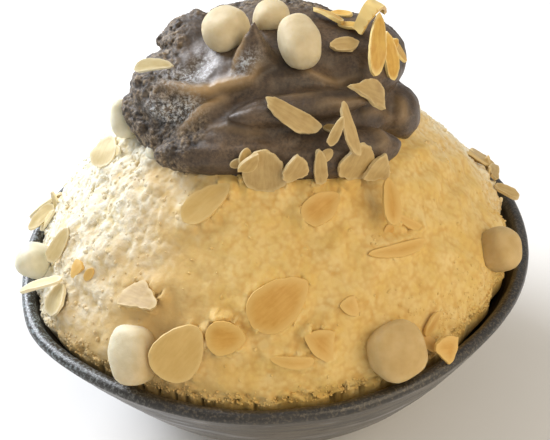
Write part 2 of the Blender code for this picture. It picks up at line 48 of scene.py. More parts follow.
MM = 0.001
RIM_RADIUS = 90 * MM
BOWL_HEIGHT = 64 * MM
WALL = 4.6 * MM
FOOT_RADIUS = 40 * MM
FOOT_HEIGHT = 6 * MM
FOOT_WIDTH = 5 * MM
FOOT_RECESS = 3 * MM
BELLY_RADIUS = 44 * MM
FLOOR = FOOT_HEIGHT + 5 * MM
FLOOR_COVE = 6 * MM  # how far in from the wall the floor starts to round up to it
COVE_RISE = 1.5 * MM  # and how far up that ends
WALL_SWEEP = 0.6
RIM_SWELLS = [(211, 15, 3.4), (312, 20, -1.0), (62, 24, 1.6), (134, 20, -1.2)]  # azimuth, half-width, push
SWELL_FADE = 6  # the swelling is gone a sixth of the bowl's height above the rim
THROWING_RING = 2.6 * MM  # from one finger mark to the next
RIM_CENTRE = Vector((0, 0, BOWL_HEIGHT))
BOWL_STEPS = 240
MERGE = 0.01 * MM  # points that are nearer together become one


def pick(*objects):
    """Makes these the only selected objects, and the first of them the active one."""
    bpy.ops.object.select_all(action="DESELECT")
    for obj in objects:
        obj.select_set(True)
    bpy.context.view_layer.objects.active = objects[0]


def modify(obj, kind, **settings):
    """Adds a modifier with these settings and applies it."""
    pick(obj)
    modifier = obj.modifiers.new(kind.lower(), kind)
    for name, value in settings.items():
        setattr(modifier, name, value)
    bpy.ops.object.modifier_apply(modifier=modifier.name)


def turned(name, profile, steps):
    """Draws half a section out from one point, then spins it about the bowl's axis."""
    bpy.ops.mesh.primitive_plane_add(size=1 * MM)
    obj = bpy.context.object
    obj.name = name
    bpy.ops.object.mode_set(mode="EDIT")
    bpy.ops.mesh.merge(type="CENTER")
    bpy.ops.transform.translate(value=(profile[0][0], 0, profile[0][1]))
    for before, after in zip(profile, profile[1:]):
        step = (after[0] - before[0], 0, after[1] - before[1])
        bpy.ops.mesh.extrude_vertices_move(TRANSFORM_OT_translate={"value": step})
    bpy.ops.mesh.select_all(action="SELECT")
    bpy.ops.mesh.spin(steps=steps, angle=math.tau, center=(0, 0, 0), axis=(0, 0, 1))
    bpy.ops.mesh.select_all(action="SELECT")
    bpy.ops.mesh.remove_doubles(threshold=MERGE)
    bpy.ops.mesh.normals_make_consistent(inside=False)
    bpy.ops.object.mode_set(mode="OBJECT")
    return obj


def swell(point):
    """How much the lip's unevenness widens the bowl at this point."""
    height = point.z / BOWL_HEIGHT
    share = height**2 if height <= 1 else max(0, 1 - (height - 1) * SWELL_FADE)
    azimuth = math.degrees(math.atan2(point.y, point.x)) % 360
    push = sum(most * math.exp(-(((azimuth - middle) / width) ** 2)) for middle, width, most in RIM_SWELLS)
    return 1 + push * MM * share / RIM_RADIUS


def outer_wall(points=60):
    """(radius, height) up the outside, with its points closer together near the foot."""
    low, high = FOOT_HEIGHT, BOWL_HEIGHT - WALL / 2
    wall = []
    for i in range(points + 1):
        share = (i / points) ** 1.5
        radius = BELLY_RADIUS + (RIM_RADIUS - BELLY_RADIUS) * share**WALL_SWEEP
        wall.append((radius, low + (high - low) * share))
    return wall


def inner_wall(offset=WALL):
    """(radius, height) up the inside, this far in from the outside."""
    wall = outer_wall()
    inside = []
    for i in range(1, len(wall) - 1):
        before, after = wall[i - 1], wall[i + 1]
        along = Vector((after[0] - before[0], after[1] - before[1])).normalized()
        height = wall[i][1] + along.x * offset * (1 - i / (len(wall) - 1))
        inside.append((wall[i][0] - along.y * offset, height))
    return [point for point in inside if point[1] > FLOOR + COVE_RISE]


def lip(points=12):
    half = WALL / 2
    turns = [math.pi * (1 - i / points) for i in range(points)]
    return [(RIM_RADIUS - half + half * math.cos(a), BOWL_HEIGHT - half + half * math.sin(a)) for a in turns]


foot = [
    (FOOT_RADIUS + 1.5 * MM, FOOT_HEIGHT * 0.8),
    (FOOT_RADIUS, FOOT_HEIGHT * 0.55),
    (FOOT_RADIUS - 0.3 * MM, 0.8 * MM),
    (FOOT_RADIUS - 1.0 * MM, 0),
    (FOOT_RADIUS - FOOT_WIDTH, 0),
    (FOOT_RADIUS - FOOT_WIDTH - 0.6 * MM, 0.5 * MM),
    (FOOT_RADIUS - FOOT_WIDTH - 1.2 * MM, FOOT_RECESS),
    (0, FOOT_RECESS),
]
inside = [(0, FLOOR), (inner_wall()[0][0] - FLOOR_COVE, FLOOR), *inner_wall()]
bowl = turned("thrown_bowl", [*inside, *lip(), *reversed(outer_wall()), *foot], BOWL_STEPS)
for vertex in bowl.data.vertices:
    point = vertex.co.copy()
    radius = math.hypot(point.x, point.y)
    if radius < FOOT_RADIUS - FOOT_WIDTH:
        continue
    above_foot = min(1, max(0, (point.z - FOOT_HEIGHT) / (6 * MM)))
    azimuth = math.atan2(point.y, point.x)
    turn = point.z / THROWING_RING + azimuth / math.tau
    depth = 0.6 + 0.8 * noise.noise(Vector((math.cos(azimuth), math.sin(azimuth), point.z / (9 * MM))))
    ring = 0.15 * MM * math.sin(math.tau * turn) * depth
    dent = 0.3 * MM * noise.noise(point / (20 * MM))
    grit = 0.1 * MM * noise.noise(point / (2.0 * MM))
    widened = swell(point) + (ring + dent + grit - 0.25 * MM) * above_foot / radius
    vertex.co = (point.x * widened, point.y * widened, point.z)
    if point.z > BOWL_HEIGHT - WALL / 2:
        vertex.co.z -= 0.15 * MM + 0.15 * MM * noise.noise(point / (7 * MM))
bowl.data.shade_smooth()


def linear(hex_code):
    """An sRGB hex colour as the linear colour that shaders take."""
    parts = [int(hex_code[i : i + 2], 16) / 255 for i in (1, 3, 5)]
    return (*(c / 12.92 if c <= 0.04045 else ((c + 0.055) / 1.055) ** 2.4 for c in parts), 1)


def per(millimetres):
    """The Scale of a texture whose pattern repeats over this many millimetres."""
    return 1 / (millimetres * MM)


def add_node(material, kind, inputs=None, output=0, **settings):
    """Adds a shader node and gives an output. Its inputs are values, hex colours or outputs to link."""
    made = material.node_tree.nodes.new("ShaderNode" + kind)
    for name, value in settings.items():
        setattr(made, name, value)
    for name, value in (inputs or {}).items():
        if isinstance(value, bpy.types.NodeSocket):
            material.node_tree.links.new(value, made.inputs[name])
        else:
            made.inputs[name].default_value = linear(value) if isinstance(value, str) else value
    return made.outputs[output]


def new_material(name, values):
    """A material with its shader's even values set, and the output that gives the place on the object."""
    material = bpy.data.materials.new(name)
    material.use_nodes = True
    for socket, value in values.items():
        material.node_tree.nodes["Principled BSDF"].inputs[socket].default_value = value
    return material, add_node(material, "TexCoord", output="Object")


def feed(material, outputs):
    """Links these outputs to the sockets of the material's shader."""
    for socket, output in outputs.items():
        material.node_tree.links.new(output, material.node_tree.nodes["Principled BSDF"].inputs[socket])


# Slate-glazed stoneware: fired iron glaze, dark and half glossy. On the lip it crystallised into a rough
# speckle, brown-black, and on the left its flecks are painted blue-grey as the reflection of the window light
# there.
# Outside it is thin and brown, in lighter and darker throwing lines, with some milky runs.
glaze = {"IOR": 1.52, "Coat Weight": 0.35, "Coat Roughness": 0.2}
stoneware, place = new_material("slate glazed stoneware", glaze)
across = add_node(stoneware, "SeparateXYZ", {"Vector": place})
level = add_node(stoneware, "SeparateXYZ", {"Vector": place}, "Z")
lip_zone = {"Value": level, "From Min": BOWL_HEIGHT - 4.5 * MM, "From Max": BOWL_HEIGHT - 1.6 * MM}
on_lip = add_node(stoneware, "MapRange", lip_zone)
grain = add_node(stoneware, "TexNoise", {"Vector": place, "Scale": per(0.9), "Detail": 3, "Roughness": 0.7})
glint = add_node(stoneware, "MapRange", {"Value": grain, "From Min": 0.5, "From Max": 0.62})
cloud = add_node(stoneware, "TexNoise", {"Vector": place, "Scale": per(14), "Detail": 4})
around = add_node(stoneware, "Mapping", {"Vector": place, "Scale": (0.1, 0.1, 1)})
lines = add_node(stoneware, "TexNoise", {"Vector": around, "Scale": per(1.8), "Detail": 4, "Roughness": 0.65})
line = add_node(stoneware, "MapRange", {"Value": lines, "From Min": 0.4, "From Max": 0.62})
runs = add_node(stoneware, "Mapping", {"Vector": place, "Scale": (0.14, 0.14, 1)})
run = add_node(stoneware, "TexNoise", {"Vector": runs, "Scale": per(4), "Detail": 4})
milky = add_node(stoneware, "MapRange", {"Value": run, "From Min": 0.58, "From Max": 0.72})
brown = add_node(stoneware, "MixRGB", {0: line, 1: "#120e0a", 2: "#504432"})
thinned = add_node(stoneware, "MixRGB", {0: milky, 1: brown, 2: "#85868a"})
# The lip's flecks turn from brown to blue-grey towards the left: painted reflection of the window light.
window_reflection_side = add_node(stoneware, "MapRange", {"Value": across, "From Min": -35 * MM, "From Max": -80 * MM})
slate = add_node(stoneware, "MixRGB", {0: cloud, 1: "#14110d", 2: "#332e26"})
glare_speckle = add_node(stoneware, "MixRGB", {0: window_reflection_side, 1: "#544b3d", 2: "#8b979c"})
glare_speckled = add_node(stoneware, "MixRGB", {0: glint, 1: slate, 2: glare_speckle})
fired = add_node(stoneware, "MixRGB", {0: on_lip, 1: thinned, 2: glare_speckled})
sheen = add_node(stoneware, "MapRange", {"Value": cloud, "To Min": 0.28, "To Max": 0.5})
relief = add_node(stoneware, "Math", {0: grain, 1: lines}, operation="ADD")
bump = add_node(stoneware, "Bump", {"Strength": 0.6, "Distance": 0.4 * MM, "Height": relief})
feed(stoneware, {"Base Color": fired, "Roughness": sheen, "Normal": bump})
bowl.data.materials.append(stoneware)
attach(bowl, "root")
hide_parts("stoneware_bowl")

# --- Shaved ice --------------------------------
# Frozen milk, shaved into fluff and heaped in the bowl as a blunt cone. It is dry, white and furrowed on the
# left, and condensed milk has soaked it golden in the middle and on the right; that golden is partly painted
# warm light, and the white on the left partly painted window light. It has risen round each slice of almond,
# as wet snow does, and its edge at the front is full of pores, painted dark as shade.

ICE_RADIUS = 84.2 * MM
ICE_RISE = 72 * MM
ICE_BLUNTNESS = 1.3
ICE_EDGE = BOWL_HEIGHT - 2 * MM
ICE_CRAGS = [(19 * MM, 1.5 * MM, 0), (7 * MM, 1.4 * MM, 5)]  # the solid's own relief: scale, height, seed
ICE_CRAG_START = 1 * MM
ICE_CRAG_REACH = 8 * MM
ICE_STEPS = 600
ICE_GAP = 0.3 * MM  # between the ice and the bowl
ICE_POINT_SPACING = 0.66 * MM
PASTE_EDGE_RADIUS = 36 * MM  # inside this the ice lies under the paste
HIDDEN_SPACING = 2.5  # times as far apart are its points there
DRY_EDGE = -73 * MM  # X of the middle of the change from dry to soaked ice, at the rim's height
DRY_BLEND = 17 * MM  # how far it reaches to each side of that
FURROW = (3.4 * MM, 11 * MM)  # from one to the next, round the mound and up it
CLUMP = 4.2 * MM
CRUMB = 1.9 * MM
PORE_SPACING = 2.2 * MM
PORE_DEPTH = 1.5 * MM
SLUMP = 3.4 * MM  # how far the ice has melted away from the lip, at the front and on the right
SLUMP_ROUND = (-42, 58)  # azimuth of the middle of that, and how far it reaches round in degrees
RAGGED_EDGE = 0.3  # the ice's edge is torn this far up, as a share of the crags' reach
MENISCUS = 1.6 * MM  # how far from a rice cake the ice climbs up to it
FILM = 0.18 * MM  # how far the ice comes over the edge of a slice
FILM_REACH = 2.2 * MM  # and how far from that edge it has sunk back
FILM_END = 4.5 * MM
EDGE_SPACING = 0.4 * MM  # between the points that mark the edges of the slices
noise.seed_set(11)  # noise_vector would start somewhere else on each run


def smoothstep(value, low, high):
    share = min(1, max(0, (value - low) / (high - low)))
    return share * share * (3 - 2 * share)


def mound_section():
    """(radius, height) down the cone, from its top to its edge, evenly spaced along the slope."""
    section = [(0, ICE_EDGE + ICE_RISE)]
    fine = 4000
    for i in range(1, fine + 1):
        turn = math.pi / 2 * (1 - i / fine)
        radius = ICE_RADIUS * math.cos(turn) ** (2 / ICE_BLUNTNESS)
        height = ICE_EDGE + ICE_RISE * math.sin(turn) ** (2 / ICE_BLUNTNESS)
        wanted = ICE_POINT_SPACING * (1 if radius > PASTE_EDGE_RADIUS else HIDDEN_SPACING)
        if math.dist(section[-1], (radius, height)) > wanted or i == fine:
            section.append((radius, height))
    return section


def soaked_and_warm_lit(point):
    """How golden the ice is at this point, partly where condensed milk has soaked it and partly as painted
    warm light: 0 is dry and white, 1 is golden.
    """
    waver = 10 * MM * noise.noise(point / (15 * MM)) + 9 * MM * noise.noise(point / (5 * MM))
    waver += 6 * MM * noise.noise(point / (1.8 * MM))
    boundary = DRY_EDGE + 0.9 * (point.z - BOWL_HEIGHT)
    from_left = smoothstep(point.x + waver, boundary - DRY_BLEND, boundary + DRY_BLEND)
    from_back = smoothstep(waver - point.y, -30 * MM, 15 * MM)
    return from_left * from_back


def cell(point, size):
    """A rounded lump in every cell of this size: 1 in the middle of a lump and 0 in the cracks between."""
    away = noise.voronoi(point / size)[0][0]
    return math.sqrt(max(0, 1 - (away / 0.8) ** 2))


def fluff(point, dry):
    """The ice's fine relief in millimetres, and how hollow it is, from 0 on a crest to 1 in a crack, which
    the material paints as shade.
    """
    azimuth = math.atan2(point.y, point.x)
    furrow = 1 - 2 * abs(noise.noise(Vector((azimuth * 60 * MM / FURROW[0], point.z / FURROW[1], 3))))
    stretched = Vector((point.x, point.y, point.z * 0.7))
    clump = cell(stretched + 2 * MM * noise.noise_vector(point / (4 * MM)), CLUMP)
    crumb = cell(point, CRUMB)
    billow = noise.noise(point / (7 * MM))
    dust = noise.noise(point / (1.1 * MM))
    fluffy = 0.5 * furrow + 0.7 * billow + 1.05 * (clump - 0.6) + 0.8 * (crumb - 0.6) + 0.25 * dust
    packed = 0.35 * billow + 0.25 * (clump - 0.6) + 0.22 * (crumb - 0.6) + 0.14 * dust
    fine = 0.55 * (clump - 0.55) + 0.45 * (crumb - 0.55) + 0.2 * furrow
    return dry * fluffy + (1 - dry) * packed, min(1, max(0, 0.5 - fine))


def edge_pores(point):
    """The pores in the wet edge at the front, which the material paints dark as the shade in them: 1 in the
    middle of one.
    """
    low = 1 - smoothstep(point.z, ICE_EDGE, ICE_EDGE + 6 * MM)
    front = smoothstep(-point.y + 10 * MM * noise.noise(point / (20 * MM)), 40 * MM, 60 * MM)
    size = 0.12 + 0.2 * low
    away = noise.voronoi(point / PORE_SPACING)[0][0]
    return low * front * (1 - smoothstep(away, size - 0.1, size + 0.08))


def slumped(point):
    """How far the ice has melted back from the wall at this height: most at the lip, less further down."""
    azimuth = math.degrees(math.atan2(point.y, point.x))
    middle, reach = SLUMP_ROUND
    side = math.exp(-(((azimuth - middle) / reach) ** 2)) + 0.25
    deep = 14 * MM if point.z < ICE_EDGE else 8 * MM
    uneven = 0.8 + 0.7 * noise.noise(Vector((point.x, point.y, 0)) / (9 * MM))
    return SLUMP * min(1, side) * math.exp(-abs(point.z - ICE_EDGE) / deep) * uneven


def set_attribute(mesh, name, values):
    attribute = mesh.attributes.new(name, "FLOAT", "POINT")
    attribute.data.foreach_set("value", np.array(values, dtype=np.float32))


def coordinates(mesh):
    places = np.empty(len(mesh.vertices) * 3, np.float32)
    mesh.vertices.foreach_get("co", places)
    return places.reshape(-1, 3).astype(float)


def tree_of(*objects):
    """A search tree of the faces of these objects."""
    points, faces = [], []
    for obj in objects:
        first = len(points)
        points.extend(obj.matrix_world @ vertex.co for vertex in obj.data.vertices)
        faces.extend([first + corner for corner in face.vertices] for face in obj.data.polygons)
    return BVHTree.FromPolygons(points, faces)


def lie_of(points):
    """The middle of a slice and its directions along, across and out of its face."""
    middle = (points.max(axis=0) + points.min(axis=0)) / 2
    return middle, np.linalg.svd(points - points.mean(axis=0), full_matrices=False)[2]


def upper_edge(node):
    """Points along the edge of a slice's upper face."""
    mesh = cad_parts[node].data
    corners = coordinates(mesh)
    middle, (_, _, out) = lie_of(corners)
    if out @ (middle - np.array(RIM_CENTRE)) < 0:
        out = -out
    line = []
    for face in mesh.polygons:
        if abs(np.array(face.normal) @ out) > 0.6:
            continue
        for a, b in zip(face.vertices, [*face.vertices[1:], face.vertices[0]]):
            level = (corners[a] + corners[b]) / 2 - middle
            if level @ out > 0:
                steps = max(1, round(math.dist(corners[a], corners[b]) / EDGE_SPACING))
                line += [Vector(corners[a] + (corners[b] - corners[a]) * i / steps) for i in range(steps)]
    return line


slice_names = sorted(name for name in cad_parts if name.startswith("almond_slice"))
cake_names = sorted(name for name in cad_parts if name.startswith("rice_cake"))
cake_tree = tree_of(*(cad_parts[name] for name in cake_names))
under = [point for point in reversed(inner_wall(WALL + ICE_GAP)) if point[1] < ICE_EDGE - 3 * MM][::6]
under += [(under[-1][0] - FLOOR_COVE, FLOOR + ICE_GAP), (0, FLOOR + ICE_GAP)]
ice = turned("milk_ice_mound", mound_section() + under, ICE_STEPS)
hollow_shades, milk, pores, rises = [], [], [], []
for vertex in ice.data.vertices:
    point = vertex.co.copy()
    widened = swell(point) - slumped(point) / RIM_RADIUS
    point.x *= widened
    point.y *= widened
    above = min(1, max(0, (point.z - ICE_EDGE - ICE_CRAG_START) / ICE_CRAG_REACH))
    wet = soaked_and_warm_lit(point)
    hollow_shade, pore_and_shade, rise = 0.5, 0, Vector()
    if point.z > ICE_EDGE - 0.1 * MM:
        outwards = (point - RIM_CENTRE).normalized()
        crag = 0
        for scale, height, seed in ICE_CRAGS:
            crag += height * noise.noise(point / scale + Vector((seed,) * 3))
        relief, hollow_shade = fluff(point, 1 - wet)
        pore_and_shade = edge_pores(point)
        point += outwards * (crag * above + relief * MM * (0.5 + 0.5 * above) - PORE_DEPTH * pore_and_shade)
        if above < RAGGED_EDGE:
            ragged = 1.5 * noise.noise(point / (3.2 * MM)) + 0.8 * noise.noise(point / (1.5 * MM))
            point.z += ragged * MM
            point += outwards * ragged * 0.6 * MM
        nearest, _, _, distance = cake_tree.find_nearest(point, MENISCUS)
        if nearest is not None:
            point += outwards * 0.5 * (MENISCUS - distance)
        rise = outwards
    vertex.co = point
    hollow_shades.append(hollow_shade)
    milk.append(wet)
    pores.append(pore_and_shade)
    rises.append(rise)
edge_line = [spot for node in slice_names for spot in upper_edge(node)]
edge_tree = KDTree(len(edge_line))
for i, spot in enumerate(edge_line):
    edge_tree.insert(spot, i)
edge_tree.balance()
for vertex, rise, wet in zip(ice.data.vertices, rises, milk):
    spot, _, distance = edge_tree.find(vertex.co)
    if distance > FILM_END or rise.length == 0:
        continue
    height = (spot - vertex.co).dot(rise)
    away = (spot - vertex.co - rise * height).length
    filled = math.exp(-((away / FILM_REACH) ** 2)) * (0.5 + 0.5 * wet)
    filled *= 0.95 + 0.35 * noise.noise(vertex.co / (1.9 * MM))
    vertex.co += rise * max(0, height + FILM) * filled
for name, values in (("hollow_shade", hollow_shades), ("milk", milk), ("pore_and_shade", pores)):
    set_attribute(ice.data, name, values)
ice.data.shade_smooth()

# Shaved milk ice: crystals full of air, so light goes deep into it and comes out soft. Dry it is white,
# soaked it is golden and a little wet on top. Its hollows are painted cream on the dry ice and darker gold on
# the soaked: painted shade. The golden side is partly condensed milk and partly painted warm room light, and
# towards the dry part, on the window side, the gold is painted darker as shade.
air = {"IOR": 1.31, "Subsurface Scale": 1.2 * MM, "Specular IOR Level": 0.3}
milk_ice, place = new_material("shaved milk ice", air | {"Subsurface Radius": (1.0, 0.85, 0.6)})
names = ("hollow_shade", "milk", "pore_and_shade")
hollow_shade, wet, pore_and_shade = [add_node(milk_ice, "Attribute", None, "Fac", attribute_name=name) for name in names]
mottle = add_node(milk_ice, "TexNoise", {"Vector": place, "Scale": per(7), "Detail": 5, "Roughness": 0.6})
blushed = add_node(milk_ice, "MapRange", {"Value": mottle, "From Min": 0.36, "From Max": 0.64})
flakes = add_node(milk_ice, "TexVoronoi", {"Vector": place, "Scale": per(1.5)}, feature="SMOOTH_F1")
powder = add_node(milk_ice, "TexNoise", {"Vector": place, "Scale": per(0.8), "Detail": 3})
crack_shade = add_node(milk_ice, "MapRange", {"Value": flakes, "From Min": 0.25, "From Max": 0.75})
# Hollows and the cracks between flakes are painted cream on the dry ice and darker gold on the soaked:
# painted shade.
hollow_and_crack_shade = add_node(milk_ice, "Math", {0: hollow_shade, 1: crack_shade}, operation="ADD")
shaded = add_node(milk_ice, "MapRange", {"Value": hollow_and_crack_shade, "From Min": 0.35, "From Max": 1.35})
dry = add_node(milk_ice, "MixRGB", {0: shaded, 1: "#f2eedc", 2: "#decfa4"})
blushing = add_node(milk_ice, "MixRGB", {0: blushed, 1: "#e3c787", 2: "#ddbb6e"})
gold = add_node(milk_ice, "MixRGB", {0: shaded, 1: blushing, 2: "#d4ac64"})
across = add_node(milk_ice, "SeparateXYZ", {"Vector": place})
# Towards the left, on the window side, the gold is painted darker: painted shade against the window light.
window_side_shade = add_node(milk_ice, "MapRange", {"Value": across, "From Min": -10 * MM, "From Max": -40 * MM})
golden_and_warm_lit = add_node(milk_ice, "MixRGB", {0: window_side_shade, 1: gold, 2: "#ceb078"})
# The mix of white and gold is partly condensed milk and partly painted light: warm room light on the gold,
# window light on the white.
soft = add_node(milk_ice, "MixRGB", {0: wet, 1: dry, 2: golden_and_warm_lit})
# The pores are painted dark brown: painted shade.
body = add_node(milk_ice, "MixRGB", {0: pore_and_shade, 1: soft, 2: "#4a3a20"})
gloss = add_node(milk_ice, "MapRange", {"Value": wet, "To Min": 0.8, "To Max": 0.55})
lumps = add_node(milk_ice, "Math", {0: powder, 1: flakes}, operation="SUBTRACT")
strength = add_node(milk_ice, "MapRange", {"Value": wet, "To Min": 0.6, "To Max": 0.2})
bump = add_node(milk_ice, "Bump", {"Strength": strength, "Distance": 0.6 * MM, "Height": lumps})
depth = add_node(milk_ice, "MapRange", {"Value": wet, "To Min": 0.1, "To Max": 0.35})
feed(milk_ice, {"Base Color": body, "Roughness": gloss, "Normal": bump, "Subsurface Weight": depth})
ice.data.materials.append(milk_ice)
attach(ice, "root")
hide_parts("shaved_ice")

# --- Red bean paste ----------------------------
# Sweet adzuki paste, boiled down until it holds its shape and laid on the ice in one scoop, in thick folds.
# A drawn ledge and a peak show where the spoon let go. The left and the back are lumpy with whole beans, and
# syrup stands on two places there.

PASTE_MASSES = [  # centre (x, y and height above the rim), full size, and turn about the vertical
    ((-1, 2, 52), (88, 82, 42), 0),
    ((1.5, 3, 65), (64, 60, 31), 0),
    ((-22, -8, 63), (38, 34, 22), 20),
    ((-37, -8, 54), (15, 22, 14), 0),
    ((-20, 5, 72), (24, 24, 15), -20),
    ((25.5, 0, 65), (41, 40, 25), 10),
    ((42, -8, 48), (15, 22, 19), -15),
    ((-8, -33, 53), (54, 14, 14), -4),
    ((18, -34, 51), (46, 15, 15), 10),
    ((10, -29, 65), (46, 12, 8), 8),
]
PASTE_PEAK = ((-2.3, -17, 75), (15, 11, 27), 2)
PEAK_SHARPNESS = 1.15
PASTE_VOXEL = 0.56 * MM
PASTE_LIFT = 0.2 * MM  # how far the paste stays out of the ice's solid
PEAK_FOOT = 9 * MM  # about this far round the peak's axis the paste isn't smoothed
BEAN_SIZE = (5.8, 4.0, 3.8)
BEAN_LOWEST = 48  # degrees of elevation
BEAN_PATCHES = [  # azimuth, elevation and half-width in degrees, number of beans
    (200, 56, 12, 9),
    (160, 64, 16, 9),
    (120, 58, 22, 14),
    (60, 60, 20, 10),
    (20, 55, 12, 6),
]
# Folds and creases: places (azimuth, elevation) along it, half-width and height, and how thin its edge is.
PASTE_FOLDS = [
    ([(212, 63), (220, 65), (226, 66), (232, 68), (239, 70), (248, 71), (258, 72), (267, 74)], 1.9, 2.4, 1.0),
    ([(218, 62), (226, 64), (233, 66), (240, 68), (249, 69), (260, 70)], 2.2, -1.9, 0),  # under that ledge
    ([(214, 67), (218, 70), (217, 74), (212, 77)], 4.0, -1.6, 0),  # the tray above it
    ([(226, 57), (229, 59), (232, 62), (235, 65), (239, 67), (244, 69)], 1.6, 1.9, 0.75),  # drawn edge
    ([(218, 56), (224, 59), (228, 62)], 3.0, -1.3, 0),  # the tray to its left
    ([(237, 60), (243, 63), (249, 66), (257, 67)], 3.2, -1.6, 0),  # the hollow to its right
    ([(231, 55), (238, 56), (251, 56), (263, 58), (269, 59)], 1.5, -0.6, 0),  # crease over the front roll
    ([(238, 60), (249, 61), (260, 60), (270, 60)], 1.3, 0.5, 0.2),
    ([(262, 60), (267, 59), (273, 57), (279, 56), (291, 54)], 1.4, -0.4, 0),
    ([(294, 62), (299, 62), (306, 60), (313, 59), (326, 56), (334, 53), (337, 49)], 1.6, 0.5, 0.3),
    ([(295, 59), (301, 58), (311, 57), (319, 55), (328, 52)], 1.6, -0.5, 0),
    ([(306, 74), (301, 72), (305, 70), (311, 68), (319, 66), (326, 64)], 1.3, 0.7, 0.4),  # scooped hollow
    ([(310, 72), (317, 70), (324, 68)], 3.0, -1.3, 0),
    ([(272, 68), (280, 67), (290, 66), (302, 65)], 1.2, 0.4, 0.2),
    ([(258, 65), (268, 66), (280, 65), (290, 64)], 1.2, -0.4, 0),
    ([(316, 52), (315, 49), (311, 47)], 2.2, 0.8, 0.3),  # lump on the right
    ([(320, 50), (322, 47)], 1.6, -1.2, 0),
    ([(343, 52), (340, 50), (337, 48)], 2.2, 0.9, 0.4),
    ([(246, 73), (250, 76), (257, 79)], 1.0, 0.7, 0.8),  # crest that climbs the peak
]
PASTE_WET = [  # places where syrup stands, the half-width of the patch, and how much stands there
    ([(211, 65), (215, 66), (219, 69), (219, 72), (212, 75)], 4.2, 0.85),
    ([(213, 57), (219, 59), (225, 61), (229, 64)], 3.6, 1.4),
    ([(250, 73), (255, 74), (263, 75)], 2.4, 0.8),
]
LINE_STEPS = 8  # from one place on a line to the next


def add_ellipsoid(centre, size, rotation, segments=32, rings=18):
    """One soft mass of the scoop, or one bean, at its place."""
    bpy.ops.mesh.primitive_uv_sphere_add(
        segments=segments, ring_count=rings, radius=0.5, location=centre, rotation=rotation, scale=size
    )
    return bpy.context.object


def surface_at(azimuth, elevation, tree):
    """The outermost point in this direction from the middle of the rim, with its normal, or None."""
    a, e = math.radians(azimuth), math.radians(elevation)
    aim = Vector((math.cos(a) * math.cos(e), math.sin(a) * math.cos(e), math.sin(e)))
    hit, normal, _, _ = tree.ray_cast(RIM_CENTRE + aim * 2 * RIM_RADIUS, -aim)
    return (hit, normal) if hit is not None else None


def join(objects, name):
    pick(*objects)
    bpy.ops.object.join()
    bpy.context.object.name = name
    bpy.ops.object.transform_apply(location=True, rotation=True, scale=True)
    return bpy.context.object


def nearness(points, places, half_width, tree):
    """How near each point is to a line of places on the surface: 1 on the line, fading out at its ends."""
    route = []
    for (a0, e0), (a1, e1) in zip(places, places[1:]):
        for i in range(LINE_STEPS):
            surface = surface_at(a0 + (a1 - a0) * i / LINE_STEPS, e0 + (e1 - e0) * i / LINE_STEPS, tree)
            if surface:
                route.append(np.array(surface[0]))
    near = np.zeros(len(points))
    for i, spot in enumerate(route):
        fade = math.sin(math.pi * (i + 1) / (len(route) + 1)) ** 0.5
        distance = np.linalg.norm(points - spot, axis=1)
        near = np.maximum(near, fade * np.exp(-((distance / (half_width * MM)) ** 2)))
    return near


masses = []
for centre, size, turn in PASTE_MASSES:
    spot = RIM_CENTRE + Vector(centre) * MM
    masses.append(add_ellipsoid(spot, Vector(size) * MM, (0, 0, math.radians(turn))))
centre, size, lean = PASTE_PEAK
spot = RIM_CENTRE + Vector(centre) * MM
peak = add_ellipsoid(spot, Vector(size) * MM, (0, math.radians(lean), 0), rings=40)
for vertex in peak.data.vertices:
    narrowing = max(0, 1 - max(0, vertex.co.z / (size[2] / 2 * MM))) ** PEAK_SHARPNESS
    vertex.co.x *= narrowing
    vertex.co.y *= narrowing
scoop = join([*masses, peak], "scoop")
scoop_tree = tree_of(scoop)
beans = []
rng = random.Random(7)
for azimuth, elevation, spread, count in BEAN_PATCHES:
    for _ in range(count):
        spot = (azimuth + rng.gauss(0, spread), elevation + rng.gauss(0, spread / 2))
        surface = surface_at(*spot, scoop_tree)
        if surface is None or spot[1] < BEAN_LOWEST:
            continue
        growth = rng.uniform(0.85, 1.15)
        facing = surface[1].to_track_quat("Z", "Y") @ Euler((0, 0, rng.uniform(0, math.tau))).to_quaternion()
        size = Vector(BEAN_SIZE) * growth * MM
        beans.append(add_ellipsoid(surface[0], size, facing.to_euler(), segments=14, rings=9))
paste = join([scoop, *beans], "adzuki_paste")
modify(paste, "REMESH", mode="VOXEL", voxel_size=PASTE_VOXEL)
modify(paste, "SMOOTH", factor=0.5, iterations=5)
slack = paste.vertex_groups.new(name="slack")
foot = (RIM_CENTRE + Vector(PASTE_PEAK[0]) * MM).xy
for vertex in paste.data.vertices:
    away = (vertex.co.xy - foot).length
    slack.add([vertex.index], smoothstep(away, 0.6 * PEAK_FOOT, 1.3 * PEAK_FOOT), "REPLACE")
modify(paste, "SMOOTH", factor=0.5, iterations=80, vertex_group="slack")

points = coordinates(paste.data)
paste_tree = tree_of(paste)
fold = np.zeros(len(points))
thin = np.zeros(len(points))
syrup = np.zeros(len(points))
for places, half_width, height, thinness in PASTE_FOLDS:
    near = nearness(points, places, half_width, paste_tree)
    fold += height * near
    thin = np.maximum(thin, thinness * near)
for places, half_width, share in PASTE_WET:
    syrup = np.maximum(syrup, np.clip(share * nearness(points, places, half_width, paste_tree), 0, 1))

